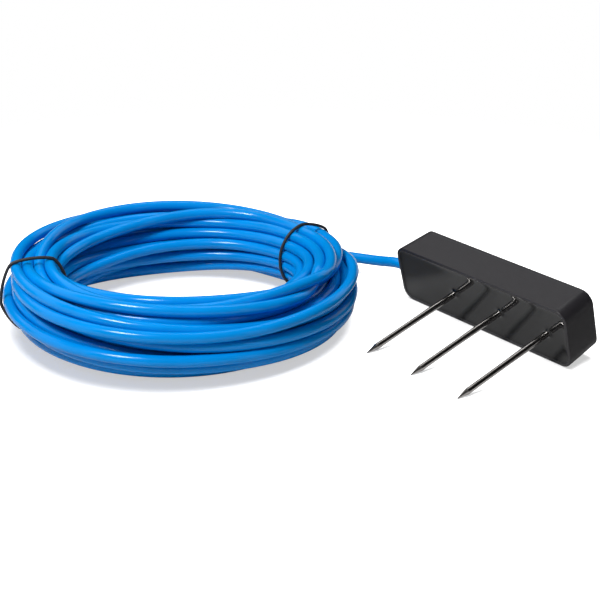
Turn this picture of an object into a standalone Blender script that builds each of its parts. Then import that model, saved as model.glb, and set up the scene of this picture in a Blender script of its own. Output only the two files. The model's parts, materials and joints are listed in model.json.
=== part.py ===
"""Potted three-rod soil moisture probe with its coiled cable.

The head is a drafted plastic cup full of potting resin. Three pointed rods stand
out of the resin face and a cable leaves one end of the cup. The head lies as it
does on a table: tilted forward on the lower edge of its rim and on its rod tips.

Row frame: metres, +Z up, origin on the table under the middle of the head, +X
along the cup towards the end away from the cable, rods towards -Y.
"""

import math

import bmesh
import bpy
import numpy as np
from mathutils import Vector

# Fit between neighbouring pieces
GAP = 0.0003

# Cup, in the head's own frame: +X along it, -Y out of the pin face, +Z up
CUP_LENGTH = 0.112
CUP_HEIGHT = 0.031
CUP_DEPTH = 0.020
CUP_CORNER = 0.0063
CUP_END_DRAFT = 0.0014
CUP_WALL = 0.0018
CUP_BACK_WALL = 0.0020
CUP_EDGE_ROUND = 0.0005
CORNER_SEGMENTS = 6
CORNER_LEAST = 0.0004
CUT_THROUGH = 0.010

# Potting resin
RESIN_RECESS = 0.0004
RESIN_FACE_THICKNESS = 0.0050
RESIN_SIDE_WALL = 0.0025

# Rods
ROD_DIAMETER = 0.0030
ROD_EXPOSED = 0.0588
ROD_TIP_LENGTH = 0.0060
ROD_TIP_RADIUS = 0.0002
ROD_END_CHAMFER = 0.0002
ROD_PITCH = 0.030
ROD_ROW_OFFSET = 0.0134
ROD_ROW_HEIGHT = 0.0005
ROD_SIDES = 20
ROD_NAMES = ("left", "middle", "right")

# Circuit board and its solder rings
BOARD_LENGTH = 0.093
BOARD_HEIGHT = 0.019
BOARD_THICKNESS = 0.0016
BOARD_FRONT = 0.0010
BOARD_MIDDLE = 0.0025
SOLDER_RING_WIDTH = 0.0010
SOLDER_RING_THICKNESS = 0.0012
ROD_STUB = 0.0003

# Board screws and the bosses that they go into, as (x, z) on the board
SCREW_PLACES = ((-0.0405, 0.0062), (0.0284, 0.0055))
SCREW_SHANK = 0.0020
SCREW_HEAD = 0.0038
SCREW_HEAD_THICKNESS = 0.0010
SCREW_CHAMFER = 0.0003
SCREW_REACH = 0.0060
BOSS_WALL = 0.0013
BOSS_SEGMENTS = 16

# Cable, its gland in the cup's end wall, and its stop collar inside
CABLE_DIAMETER = 0.0055
GLAND_AXIS_Z = -0.0030
GLAND_NOSE_LENGTH = 0.0045
GLAND_NOSE_WALL = 0.0009
GLAND_WALL = 0.0012
GLAND_FLANGE_WIDTH = 0.0014
GLAND_FLANGE_THICKNESS = 0.0014
GLAND_RING_THICKNESS = 0.0016
COLLAR_WALL = 0.0010
COLLAR_LENGTH = 0.0024
INNER_CABLE_REACH = 0.0030
TURNED_STEPS = 24

# Cores inside the cable
CORE_DIAMETER = 0.0012
CORE_SPREAD = 0.0008
CORE_PITCH = 0.0028
CORE_LEAD_IN = 0.0012
CORE_SPACING = 0.0006
CORE_FAN_HALF_WAY = 0.7
CORE_DROP_HALF_WAY = 0.2
HEADER_PLACE = -0.0365
HEADER_WIDTH = 0.0030
HEADER_DEPTH = 0.0026
HEADER_MARGIN = 0.0012
CORE_COLOURS = {
    "red": (0.60, 0.03, 0.02),
    "black": (0.02, 0.02, 0.02),
    "yellow": (0.80, 0.55, 0.03),
    "white": (0.80, 0.80, 0.78),
}

# Board parts: (name, x, z, width along x, width along z, height off the board)
BOARD_PARTS = (
    ("bus_transceiver", -0.0265, 0.0020, 0.0060, 0.0050, 0.0016),
    ("tantalum_capacitor", -0.0250, -0.0060, 0.0060, 0.0032, 0.0026),
    ("voltage_regulator", -0.0080, -0.0058, 0.0065, 0.0036, 0.0017),
    ("microcontroller", -0.0025, 0.0030, 0.0070, 0.0070, 0.0012),
    ("oscillator_can", 0.0050, -0.0060, 0.0050, 0.0032, 0.0012),
    ("ceramic_capacitor_1", 0.0215, 0.0030, 0.0032, 0.0016, 0.0012),
    ("ceramic_capacitor_2", 0.0345, 0.0030, 0.0032, 0.0016, 0.0012),
    ("rf_inductor", 0.0250, -0.0050, 0.0045, 0.0040, 0.0022),
)
BOARD_PART_ROUND = 0.0002

# Coil of cable lying on the table, in the row frame
COIL_CENTRE = (-0.1047, -0.0832)
COIL_MEAN_RADIUS = 0.0680
COIL_LOOPS = 24
COIL_LAYERS = 4
COIL_POINTS = 24
COIL_TURN_GAP = 0.0005
COIL_LAYER_GAP = 0.0010
COIL_START = math.radians(165.0)
COIL_END_POINTS_SHORT = 4
COIL_CLIMB = 0.5
TIE_THICKNESS = 0.0012
TIE_ANGLES = {"left": math.radians(249.0), "right": math.radians(84.0)}
TIE_CORNER_POINTS = 6

# Route of the lead from the gland to the coil, in the row frame
LEAD_ROUTE = (
    (-0.0770, 0.0256, 0.0116),
    (-0.0900, 0.0250, 0.0090),
    (-0.1045, 0.0236, 0.0070),
    (-0.1210, 0.0186, 0.0055),
    (-0.1390, 0.0088, 0.0048),
    (-0.1570, -0.0050, 0.0044),
    (-0.1786, -0.0270, 0.0042),
)

# Route of the tail from the coil's end to its stripped end, in the row frame
TAIL_ROUTE = (
    (-0.1554, -0.0058, 0.0190),
    (-0.1781, -0.0178, 0.0125),
    (-0.1950, -0.0362, 0.0060),
    (-0.2039, -0.0598, 0.00325),
)
TAIL_END = (-0.2059, -0.0766, 0.00300)
TAIL_CORE_LENGTH = 0.0260
TAIL_CORE_FAN = 0.0020
TAIL_CORE_SPACING = 0.0036
FERRULE_DIAMETER = 0.0018
FERRULE_LENGTH = 0.0080
FERRULE_SIDES = 12
TUBE_SPACING = 0.0125


def clear_scene():
    """Removes every object that the file starts with."""
    for old in list(bpy.data.objects):
        bpy.data.objects.remove(old, do_unlink=True)


def make_collection(name):
    """A new collection in the scene."""
    collection = bpy.data.collections.new(name)
    bpy.context.scene.collection.children.link(collection)
    return collection


clear_scene()
PARTS = make_collection("soil_moisture_sensor")
CUTTERS = make_collection("cutters")
MATERIALS = {}


def material(name, colour, roughness, metallic=0.0):
    """A Principled material, made once for each name."""
    if name not in MATERIALS:
        made = bpy.data.materials.new(name)
        made.use_nodes = True
        shader = made.node_tree.nodes["Principled BSDF"]
        shader.inputs["Base Color"].default_value = (*colour, 1.0)
        shader.inputs["Roughness"].default_value = roughness
        shader.inputs["Metallic"].default_value = metallic
        MATERIALS[name] = made
    return MATERIALS[name]


def cup_plastic():
    return material("cup_plastic", (0.030, 0.030, 0.033), 0.45)


def potting_resin():
    return material("potting_resin", (0.012, 0.012, 0.013), 0.10)


def rod_steel():
    return material("rod_steel", (0.62, 0.61, 0.60), 0.18, 1.0)


def solder_metal():
    return material("solder_metal", (0.70, 0.70, 0.70), 0.30, 1.0)


def screw_metal():
    return material("screw_metal", (0.55, 0.54, 0.50), 0.30, 1.0)


def board_laminate():
    return material("board_laminate", (0.02, 0.14, 0.05), 0.40)


def chip_plastic():
    return material("chip_plastic", (0.025, 0.025, 0.027), 0.55)


def gland_rubber():
    return material("gland_rubber", (0.020, 0.020, 0.021), 0.60)


def cable_jacket():
    return material("cable_jacket", (0.002, 0.225, 0.720), 0.22)


def tie_elastic():
    return material("tie_elastic", (0.012, 0.012, 0.013), 0.50)


def core_plastic(colour_name):
    return material("core_" + colour_name, CORE_COLOURS[colour_name], 0.35)


def place(name, data, finish, parent=None, location=(0, 0, 0), rotation=(0, 0, 0)):
    """A named part of the sensor, placed under its parent."""
    made = bpy.data.objects.new(name, data)
    if finish is not None:
        data.materials.append(finish)
    made.parent = parent
    made.location = location
    made.rotation_euler = rotation
    PARTS.objects.link(made)
    return made


def as_cutter(name, data, parent=None, location=(0, 0, 0), rotation=(0, 0, 0)):
    """A hidden solid that other pieces are cut or joined with."""
    made = bpy.data.objects.new(name, data)
    made.parent = parent
    made.location = location
    made.rotation_euler = rotation
    made.hide_render = True
    made.display_type = "WIRE"
    CUTTERS.objects.link(made)
    return made


def combine(target, tool, operation="DIFFERENCE"):
    """A Boolean modifier of the target with a tool."""
    boolean = target.modifiers.new(tool.name, "BOOLEAN")
    boolean.object = tool
    boolean.operation = operation
    boolean.solver = "EXACT"


def finish_mesh(name, shape):
    """Turns a bmesh into a mesh, smooth with sharp edges kept."""
    bmesh.ops.recalc_face_normals(shape, faces=shape.faces)
    data = bpy.data.meshes.new(name)
    shape.to_mesh(data)
    shape.free()
    data.shade_smooth()
    data.set_sharp_from_angle(angle=math.radians(35))
    return data


def box_mesh(name, width, depth, height, edge=0.0):
    """A box centred on the origin, with all its edges rounded off by one facet."""
    shape = bmesh.new()
    bmesh.ops.create_cube(shape, size=1.0)
    bmesh.ops.scale(shape, vec=(width, depth, height), verts=shape.verts)
    if edge > 0.0:
        bmesh.ops.bevel(shape, geom=shape.edges[:], offset=edge, segments=1, affect="EDGES")
    return finish_mesh(name, shape)


def drafted_block(name, inset, front, back, edge=0.0):
    """The cup's outline, drawn in by inset, from y = front to y = back.

    The four long edges are rounded, and the ends lean in towards the back at the
    cup's own draft, so that blocks with different insets stay parallel.
    """
    corner = max(CUP_CORNER - inset, CORNER_LEAST)
    shape = bmesh.new()
    bmesh.ops.create_cube(shape, size=1.0)
    size = (CUP_LENGTH - 2 * inset, back - front, CUP_HEIGHT - 2 * inset)
    bmesh.ops.scale(shape, vec=size, verts=shape.verts)
    bmesh.ops.translate(shape, vec=(0, (front + back) / 2, 0), verts=shape.verts)
    long_edges = [e for e in shape.edges if abs(e.verts[0].co.y - e.verts[1].co.y) > size[1] / 2]
    bmesh.ops.bevel(shape, geom=long_edges, offset=corner, segments=CORNER_SEGMENTS, profile=0.5,
                    affect="EDGES")
    if edge > 0.0:
        middle = (front + back) / 2
        rims = [e for e in shape.edges if (e.verts[0].co.y - middle) * (e.verts[1].co.y - middle) > 0]
        bmesh.ops.bevel(shape, geom=rims, offset=edge, segments=2, profile=0.5, affect="EDGES")
    for corner_point in shape.verts:
        lean = CUP_END_DRAFT * (corner_point.co.y + CUP_DEPTH / 2) / CUP_DEPTH
        corner_point.co.x *= 1.0 - lean / (CUP_LENGTH / 2 - inset)
    return finish_mesh(name, shape)


def cylinder_mesh(name, radius, length, segments):
    """A capped cylinder along Z, centred on the origin."""
    shape = bmesh.new()
    bmesh.ops.create_cone(shape, cap_ends=True, segments=segments, radius1=radius, radius2=radius,
                          depth=length)
    return finish_mesh(name, shape)


def turned(name, profile, finish, parent, location, rotation, steps=TURNED_STEPS):
    """A profile of (radius, height) points, top to bottom, turned about Z."""
    data = bpy.data.meshes.new(name)
    points = [(radius, 0.0, height) for radius, height in profile]
    edges = [(i, i + 1) for i in range(len(points) - 1)]
    if profile[0][0] > 0.0:
        edges.append((len(points) - 1, 0))
    data.from_pydata(points, edges, [])
    made = place(name, data, finish, parent, location, rotation)
    screw = made.modifiers.new("turn", "SCREW")
    screw.steps = steps
    screw.render_steps = steps
    screw.use_merge_vertices = True
    screw.merge_threshold = 0.00001
    return made


def tube(name, points, diameter, finish, resolution, parent=None, closed=False):
    """A round tube with capped ends along a list of points."""
    curve = bpy.data.curves.new(name, "CURVE")
    curve.dimensions = "3D"
    curve.bevel_depth = diameter / 2
    curve.bevel_resolution = resolution
    curve.use_fill_caps = not closed
    spline = curve.splines.new("POLY")
    spline.points.add(len(points) - 1)
    for slot, point in zip(spline.points, points):
        slot.co = (*point, 1.0)
    spline.use_cyclic_u = closed
    return place(name, curve, finish, parent)


def smooth_route(points, spacing):
    """Points every spacing along a Catmull-Rom curve through the given ones."""
    given = np.array(points, dtype=float)
    padded = np.vstack([2 * given[0] - given[1], given, 2 * given[-1] - given[-2]])
    t = np.linspace(0, 1, 40, endpoint=False)[:, None]
    runs = []
    for a, b, c, d in zip(padded[:-3], padded[1:-2], padded[2:-1], padded[3:]):
        runs.append(0.5 * (2 * b + (c - a) * t + (2 * a - 5 * b + 4 * c - d) * t**2
                           + (3 * b - 3 * c + d - a) * t**3))
    fine = np.vstack(runs + [given[-1:]])
    along = np.concatenate([[0.0], np.cumsum(np.linalg.norm(np.diff(fine, axis=0), axis=1))])
    count = max(int(round(along[-1] / spacing)), 2)
    wanted = np.linspace(0, along[-1], count + 1)
    return np.stack([np.interp(wanted, along, fine[:, k]) for k in range(3)], axis=1)


# Places along the head's depth that several pieces share
FACE = -CUP_DEPTH / 2
RESIN_FACE = FACE + RESIN_RECESS
RESIN_BACK = RESIN_FACE + RESIN_FACE_THICKNESS
CUP_FLOOR = CUP_DEPTH / 2 - CUP_BACK_WALL
BOARD_BACK = BOARD_FRONT + BOARD_THICKNESS
RING_FRONT = BOARD_BACK + GAP
ROD_INNER_END = RING_FRONT + SOLDER_RING_THICKNESS + ROD_STUB
ROD_PLACES = [ROD_ROW_OFFSET + ROD_PITCH * step for step in (-1, 0, 1)]
ROD_HOLE = ROD_DIAMETER / 2 + GAP
GLAND_AXIS_Y = RESIN_BACK + CABLE_DIAMETER / 2
ALONG_Y = (-math.pi / 2, 0, 0)
ALONG_X = (0, math.pi / 2, 0)

# The rim's lower edge and the rod tips rest on the same table
HEAD_TILT = math.atan2(CUP_HEIGHT / 2 + ROD_ROW_HEIGHT - ROD_TIP_RADIUS, ROD_EXPOSED)

HEAD = bpy.data.objects.new("head_frame", None)
HEAD.rotation_euler = (HEAD_TILT, 0, 0)
PARTS.objects.link(HEAD)


def end_wall(y, inset=0.0):
    """X of the cable end's wall at a depth y, drawn in by inset."""
    lean = CUP_END_DRAFT * (y + CUP_DEPTH / 2) / CUP_DEPTH
    return -(CUP_LENGTH / 2 - inset - lean)


# Gland: its stations along X, from the nose to the ring inside the wall
GLAND_BORE = CABLE_DIAMETER / 2 + GAP
GLAND_NECK = GLAND_BORE + GLAND_WALL
GLAND_FLANGE = GLAND_NECK + GLAND_FLANGE_WIDTH
FLANGE_SEAT = end_wall(GLAND_AXIS_Y - GLAND_FLANGE) - GAP
RING_SEAT = end_wall(GLAND_AXIS_Y + GLAND_FLANGE, CUP_WALL) + GAP
GLAND_MOUTH = FLANGE_SEAT - GLAND_FLANGE_THICKNESS - GLAND_NOSE_LENGTH
GLAND_INNER = RING_SEAT + GLAND_RING_THICKNESS
COLLAR_END = GLAND_INNER + GAP + COLLAR_LENGTH
INNER_CABLE_END = COLLAR_END + INNER_CABLE_REACH
BOARD_START = BOARD_MIDDLE - BOARD_LENGTH / 2


def housing_shell():
    """The cup: a drafted block, hollowed from the front, with two screw bosses."""
    body = place("housing_shell", drafted_block("housing_shell", 0.0, FACE, CUP_DEPTH / 2, CUP_EDGE_ROUND),
                 cup_plastic(), HEAD)
    hollow = as_cutter("cup_hollow", drafted_block("cup_hollow", CUP_WALL, FACE - CUP_WALL, CUP_FLOOR), HEAD)
    combine(body, hollow)
    boss_top = BOARD_BACK + GAP
    bore = SCREW_SHANK / 2 + GAP
    boss_length = CUP_FLOOR + CUP_BACK_WALL / 2 - boss_top
    bore_length = SCREW_REACH + GAP
    for number, (x, z) in enumerate(SCREW_PLACES, 1):
        boss_data = cylinder_mesh("boss", bore + BOSS_WALL, boss_length, BOSS_SEGMENTS)
        boss = as_cutter(f"boss_{number}", boss_data, HEAD, (x, boss_top + boss_length / 2, z), ALONG_Y)
        combine(body, boss, "UNION")
        bore_data = cylinder_mesh("boss_bore", bore, 2 * bore_length, BOSS_SEGMENTS)
        hole = as_cutter(f"boss_bore_{number}", bore_data, HEAD, (x, BOARD_FRONT, z), ALONG_Y)
        combine(body, hole)
    neck_data = cylinder_mesh("gland_hole", GLAND_NECK + GAP, CUT_THROUGH, TURNED_STEPS)
    neck = as_cutter("gland_hole", neck_data, HEAD,
                     (end_wall(GLAND_AXIS_Y, CUP_WALL / 2), GLAND_AXIS_Y, GLAND_AXIS_Z), ALONG_X)
    combine(body, neck)


def potting_fill():
    """The resin: the pin face, with a skirt round the electronics that reaches the cup's floor."""
    outside = CUP_WALL + GAP
    fill = place("potting_fill", drafted_block("potting_fill", outside, RESIN_FACE, CUP_FLOOR - GAP),
                 potting_resin(), HEAD)
    pocket_data = drafted_block("resin_pocket", outside + RESIN_SIDE_WALL, RESIN_BACK, CUP_DEPTH)
    combine(fill, as_cutter("resin_pocket", pocket_data, HEAD))
    hole_data = cylinder_mesh("rod_hole", ROD_HOLE, CUT_THROUGH, ROD_SIDES)
    face_middle = (RESIN_FACE + RESIN_BACK) / 2
    for name, x in zip(ROD_NAMES, ROD_PLACES):
        hole = as_cutter("rod_hole_" + name, hole_data, HEAD, (x, face_middle, ROD_ROW_HEIGHT), ALONG_Y)
        combine(fill, hole)
    start = 2 * GLAND_MOUTH - COLLAR_END
    reach = COLLAR_END + GAP - start
    gland_room = cylinder_mesh("gland_room", GLAND_FLANGE + GAP, reach, TURNED_STEPS)
    room = as_cutter("gland_room", gland_room, HEAD, (start + reach / 2, GLAND_AXIS_Y, GLAND_AXIS_Z), ALONG_X)
    combine(fill, room)


def probe_rods():
    """Three turned rods with conical tips, soldered to the board behind the resin."""
    radius = ROD_DIAMETER / 2
    shoulder = FACE - ROD_EXPOSED + ROD_TIP_LENGTH
    tip = FACE - ROD_EXPOSED
    profile = ((0.0, ROD_INNER_END),
               (radius - ROD_END_CHAMFER, ROD_INNER_END),
               (radius, ROD_INNER_END - ROD_END_CHAMFER),
               (radius, shoulder),
               (ROD_TIP_RADIUS, tip),
               (0.0, tip))
    ring = ((radius + GAP, RING_FRONT + SOLDER_RING_THICKNESS),
            (radius + GAP + SOLDER_RING_WIDTH / 2, RING_FRONT + SOLDER_RING_THICKNESS),
            (radius + GAP + SOLDER_RING_WIDTH, RING_FRONT),
            (radius + GAP, RING_FRONT))
    for name, x in zip(ROD_NAMES, ROD_PLACES):
        place_at = (x, 0, ROD_ROW_HEIGHT)
        turned("probe_rod_" + name, profile, rod_steel(), HEAD, place_at, ALONG_Y, ROD_SIDES)
        turned("rod_solder_ring_" + name, ring, solder_metal(), HEAD, place_at, ALONG_Y, ROD_SIDES)


def circuit_board():
    """The board with its rod and screw holes, its screws and its parts."""
    middle = (BOARD_FRONT + BOARD_BACK) / 2
    board = place("circuit_board", box_mesh("circuit_board", BOARD_LENGTH, BOARD_THICKNESS, BOARD_HEIGHT),
                  board_laminate(), HEAD, (BOARD_MIDDLE, middle, 0))
    for name, x in zip(ROD_NAMES, ROD_PLACES):
        data = cylinder_mesh("board_rod_hole", ROD_HOLE, CUT_THROUGH, ROD_SIDES)
        combine(board, as_cutter("board_rod_hole_" + name, data, HEAD, (x, middle, ROD_ROW_HEIGHT), ALONG_Y))
    head_radius = SCREW_HEAD / 2
    shank = SCREW_SHANK / 2
    under_head = BOARD_FRONT - GAP
    head_top = under_head - SCREW_HEAD_THICKNESS
    screw_end = BOARD_FRONT + SCREW_REACH
    screw = ((0.0, screw_end),
             (shank - SCREW_CHAMFER, screw_end),
             (shank, screw_end - SCREW_CHAMFER),
             (shank, under_head),
             (head_radius, under_head),
             (head_radius, head_top + SCREW_CHAMFER),
             (head_radius - SCREW_CHAMFER, head_top),
             (0.0, head_top))
    for number, (x, z) in enumerate(SCREW_PLACES, 1):
        data = cylinder_mesh("board_screw_hole", shank + GAP, CUT_THROUGH, BOSS_SEGMENTS)
        combine(board, as_cutter(f"board_screw_hole_{number}", data, HEAD, (x, middle, z), ALONG_Y))
        turned(f"board_screw_{number}", screw, screw_metal(), HEAD, (x, 0, z), ALONG_Y, BOSS_SEGMENTS)
    for name, x, z, width, height, rise in BOARD_PARTS:
        data = box_mesh(name, width, rise, height, BOARD_PART_ROUND)
        finish = solder_metal() if name == "oscillator_can" else chip_plastic()
        place(name, data, finish, HEAD, (x, BOARD_FRONT - GAP - rise / 2, z))


def cable_entry():
    """The gland in the end wall, the cable's inner end, its stop collar and its four cores."""
    def station(x):
        """Height on a profile turned about the gland's axis, whose top is the nose."""
        return -x

    axis = (0, GLAND_AXIS_Y, GLAND_AXIS_Z)
    towards_nose = (0, -math.pi / 2, 0)
    flange_top = FLANGE_SEAT - GLAND_FLANGE_THICKNESS
    gland = ((GLAND_BORE, station(GLAND_MOUTH)),
             (GLAND_BORE + GLAND_NOSE_WALL, station(GLAND_MOUTH)),
             (GLAND_NECK, station(flange_top)),
             (GLAND_FLANGE, station(flange_top)),
             (GLAND_FLANGE, station(FLANGE_SEAT)),
             (GLAND_NECK, station(FLANGE_SEAT)),
             (GLAND_NECK, station(RING_SEAT)),
             (GLAND_FLANGE, station(RING_SEAT)),
             (GLAND_FLANGE, station(GLAND_INNER)),
             (GLAND_BORE, station(GLAND_INNER)))
    turned("cable_gland", gland, gland_rubber(), HEAD, axis, towards_nose)
    collar_start = GLAND_INNER + GAP
    collar = ((GLAND_BORE, station(collar_start)), (GLAND_BORE + COLLAR_WALL, station(collar_start)),
              (GLAND_BORE + COLLAR_WALL, station(COLLAR_END)), (GLAND_BORE, station(COLLAR_END)))
    turned("cable_stop_collar", collar, screw_metal(), HEAD, axis, towards_nose)
    inner = [(GLAND_MOUTH + GAP, GLAND_AXIS_Y, GLAND_AXIS_Z), (INNER_CABLE_END, GLAND_AXIS_Y, GLAND_AXIS_Z)]
    tube("inner_cable", inner, CABLE_DIAMETER, cable_jacket(), 3, HEAD)

    header_length = CORE_PITCH * (len(CORE_COLOURS) - 1) + 2 * HEADER_MARGIN
    header_y = BOARD_FRONT - GAP - HEADER_DEPTH / 2
    place("core_header", box_mesh("core_header", HEADER_WIDTH, HEADER_DEPTH, header_length, BOARD_PART_ROUND),
          chip_plastic(), HEAD, (HEADER_PLACE, header_y, 0))
    core_end = HEADER_PLACE - HEADER_WIDTH / 2 - GAP
    core_start = INNER_CABLE_END + GAP
    for index, colour in enumerate(CORE_COLOURS):
        side = -1 if index % 2 == 0 else 1
        level = -1 if index < 2 else 1
        y = GLAND_AXIS_Y + side * CORE_SPREAD
        z = GLAND_AXIS_Z + level * CORE_SPREAD
        end_z = CORE_PITCH * (index - (len(CORE_COLOURS) - 1) / 2)
        half_way = ((core_start + core_end) / 2,
                    y + CORE_DROP_HALF_WAY * (header_y - y),
                    z + CORE_FAN_HALF_WAY * (end_z - z))
        route = [(core_start, y, z),
                 (core_start + CORE_LEAD_IN, y, z),
                 half_way,
                 (core_end - CORE_LEAD_IN, header_y, end_z),
                 (core_end, header_y, end_z)]
        tube("inner_core_" + colour, smooth_route(route, CORE_SPACING), CORE_DIAMETER,
             core_plastic(colour), 1, HEAD)


def seat_head(pieces):
    """Moves the head so that the box round its own pieces stands on the origin."""
    bpy.context.view_layer.update()
    graph = bpy.context.evaluated_depsgraph_get()
    corners = []
    for piece in pieces:
        seen = piece.evaluated_get(graph)
        data = seen.to_mesh()
        corners += [seen.matrix_world @ v.co for v in data.vertices]
        seen.to_mesh_clear()
    points = np.array([tuple(c) for c in corners])
    low, high = points.min(axis=0), points.max(axis=0)
    HEAD.location = (-(low[0] + high[0]) / 2, -(low[1] + high[1]) / 2, -low[2])
    bpy.context.view_layer.update()


# Coil: the winding steps that follow from the cable's size
TURN_PITCH = CABLE_DIAMETER + COIL_TURN_GAP
LAYER_PITCH = CABLE_DIAMETER + COIL_LAYER_GAP
LOOPS_PER_LAYER = COIL_LOOPS // COIL_LAYERS
COIL_RANGE = TURN_PITCH * LOOPS_PER_LAYER
COIL_FLOOR = TIE_THICKNESS + GAP + CABLE_DIAMETER / 2


def coil_points(points_per_loop):
    """Points of the winding, from the lead's end to the tail's end.

    The radius runs in and out at a steady rate, one turn pitch a turn, and the
    height climbs one layer in the half turn where the radius reverses.
    """
    steps = np.arange(COIL_LOOPS * points_per_loop + 1 - COIL_END_POINTS_SHORT)
    turns = steps / points_per_loop
    wave = np.abs(1 - (turns / LOOPS_PER_LAYER) % 2)
    radius = COIL_MEAN_RADIUS + COIL_RANGE * (wave - 0.5)
    height = np.full_like(turns, COIL_FLOOR)
    for layer in range(1, COIL_LAYERS):
        share = np.clip((turns - layer * LOOPS_PER_LAYER) / COIL_CLIMB + 0.5, 0, 1)
        height += LAYER_PITCH * share * share * (3 - 2 * share)
    angle = COIL_START + 2 * math.pi * turns
    x = COIL_CENTRE[0] + radius * np.cos(angle)
    y = COIL_CENTRE[1] + radius * np.sin(angle)
    return np.stack([x, y, height], axis=1)


def least_self_gap(points, points_per_loop):
    """Least free distance between parts of the winding over half a turn apart."""
    between = 4
    steps = np.arange(0, len(points) - 1 + 1e-9, 1 / between)
    fine = np.stack([np.interp(steps, np.arange(len(points)), points[:, k]) for k in range(3)], axis=1)
    apart = points_per_loop * between // 2
    least = np.inf
    for index in range(0, len(fine) - apart):
        away = np.linalg.norm(fine[index + apart:] - fine[index], axis=1)
        least = min(least, away.min())
    return least - CABLE_DIAMETER


def run_length(points):
    """Length of a line of points."""
    return float(np.linalg.norm(np.diff(np.asarray(points), axis=0), axis=1).sum())


def coil_tie(name, angle):
    """A thin loop round the bundle, in the plane through the coil's axis at an angle."""
    half = COIL_RANGE / 2 + CABLE_DIAMETER / 2 + GAP + TIE_THICKNESS / 2
    low = TIE_THICKNESS / 2
    high = COIL_FLOOR + LAYER_PITCH * (COIL_LAYERS - 1) + CABLE_DIAMETER / 2 + GAP + TIE_THICKNESS / 2
    bend = CABLE_DIAMETER / 2 + GAP + TIE_THICKNESS / 2
    points = []
    corners = ((1, high, 0), (-1, high, 90), (-1, low, 180), (1, low, 270))
    for side, level, first in corners:
        across = COIL_MEAN_RADIUS + side * (half - bend)
        up = level - bend if level == high else level + bend
        for turn in np.radians(np.linspace(first, first + 90, TIE_CORNER_POINTS)):
            radius = across + bend * math.cos(turn)
            x = COIL_CENTRE[0] + radius * math.cos(angle)
            y = COIL_CENTRE[1] + radius * math.sin(angle)
            points.append((x, y, up + bend * math.sin(turn)))
    tube(name, points, TIE_THICKNESS, tie_elastic(), 1, closed=True)


def cable_outside():
    """The lead from the gland, the coil with its ties, and the tail with its stripped cores."""
    winding = coil_points(COIL_POINTS)
    into = winding[1] - winding[0]
    into /= np.linalg.norm(into)
    out = winding[-1] - winding[-2]
    out /= np.linalg.norm(out)

    to_row = HEAD.matrix_world
    mouth = np.array(to_row @ Vector((GLAND_MOUTH - GAP, GLAND_AXIS_Y, GLAND_AXIS_Z)))
    straight = np.array(to_row @ Vector((GLAND_MOUTH - GAP - CABLE_DIAMETER, GLAND_AXIS_Y, GLAND_AXIS_Z)))
    lead_end = winding[0] - into * GAP
    before_end = lead_end - into * CABLE_DIAMETER
    lead = smooth_route([mouth, straight, *LEAD_ROUTE, before_end, lead_end], TUBE_SPACING)
    tube("cable_lead", lead, CABLE_DIAMETER, cable_jacket(), 3)

    tube("cable_coil", winding, CABLE_DIAMETER, cable_jacket(), 1)
    for side, angle in TIE_ANGLES.items():
        coil_tie("coil_tie_" + side, angle)

    tail_start = winding[-1] + out * GAP
    tail = smooth_route([tail_start, tail_start + out * CABLE_DIAMETER, *TAIL_ROUTE, TAIL_END], TUBE_SPACING)
    tube("cable_tail", tail, CABLE_DIAMETER, cable_jacket(), 3)

    along = Vector(tail[-1] - tail[-2]).normalized()
    across = along.cross(Vector((0, 0, 1))).normalized()
    upward = across.cross(along)
    for index, colour in enumerate(CORE_COLOURS):
        side = -1 if index < 2 else 1
        level = -1 if index % 2 == 0 else 1
        start = Vector(TAIL_END) + along * GAP + (across * side + upward * level) * CORE_SPREAD
        spread = TAIL_CORE_FAN * (2 * index - 3)
        middle = start + along * TAIL_CORE_LENGTH / 2 + across * (spread - side * CORE_SPREAD) / 2
        end = start + along * TAIL_CORE_LENGTH + across * (spread - side * CORE_SPREAD)
        first = start + along * CORE_LEAD_IN
        last = end - along * CORE_LEAD_IN
        route = [tuple(p) for p in (start, first, middle, last, end)]
        tube("tail_core_" + colour, smooth_route(route, TAIL_CORE_SPACING), CORE_DIAMETER,
             core_plastic(colour), 1)
        sleeve = cylinder_mesh("ferrule", FERRULE_DIAMETER / 2, FERRULE_LENGTH, FERRULE_SIDES)
        ferrule = place("tail_ferrule_" + colour, sleeve, solder_metal())
        ferrule.location = end + along * (GAP + FERRULE_LENGTH / 2)
        ferrule.rotation_euler = along.to_track_quat("Z", "Y").to_euler()

    print("cable lengths in metres: lead", round(run_length(lead), 4), "coil", round(run_length(winding), 4),
          "tail", round(run_length(tail), 4))
    print("coil least gap to itself in mm:", round(least_self_gap(winding, COIL_POINTS) * 1000, 3))


housing_shell()
potting_fill()
probe_rods()
circuit_board()
seat_head([piece for piece in PARTS.objects if piece.type == "MESH"])
cable_entry()
bpy.context.view_layer.update()
cable_outside()
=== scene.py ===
"""Looks of a potted soil moisture probe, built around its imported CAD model.

The head is a black cup full of glossy resin with three pointed steel rods. A blue
cable leaves one end of the cup and lies beside it in a loose coil with two ties.
"""

import json
import math

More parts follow.
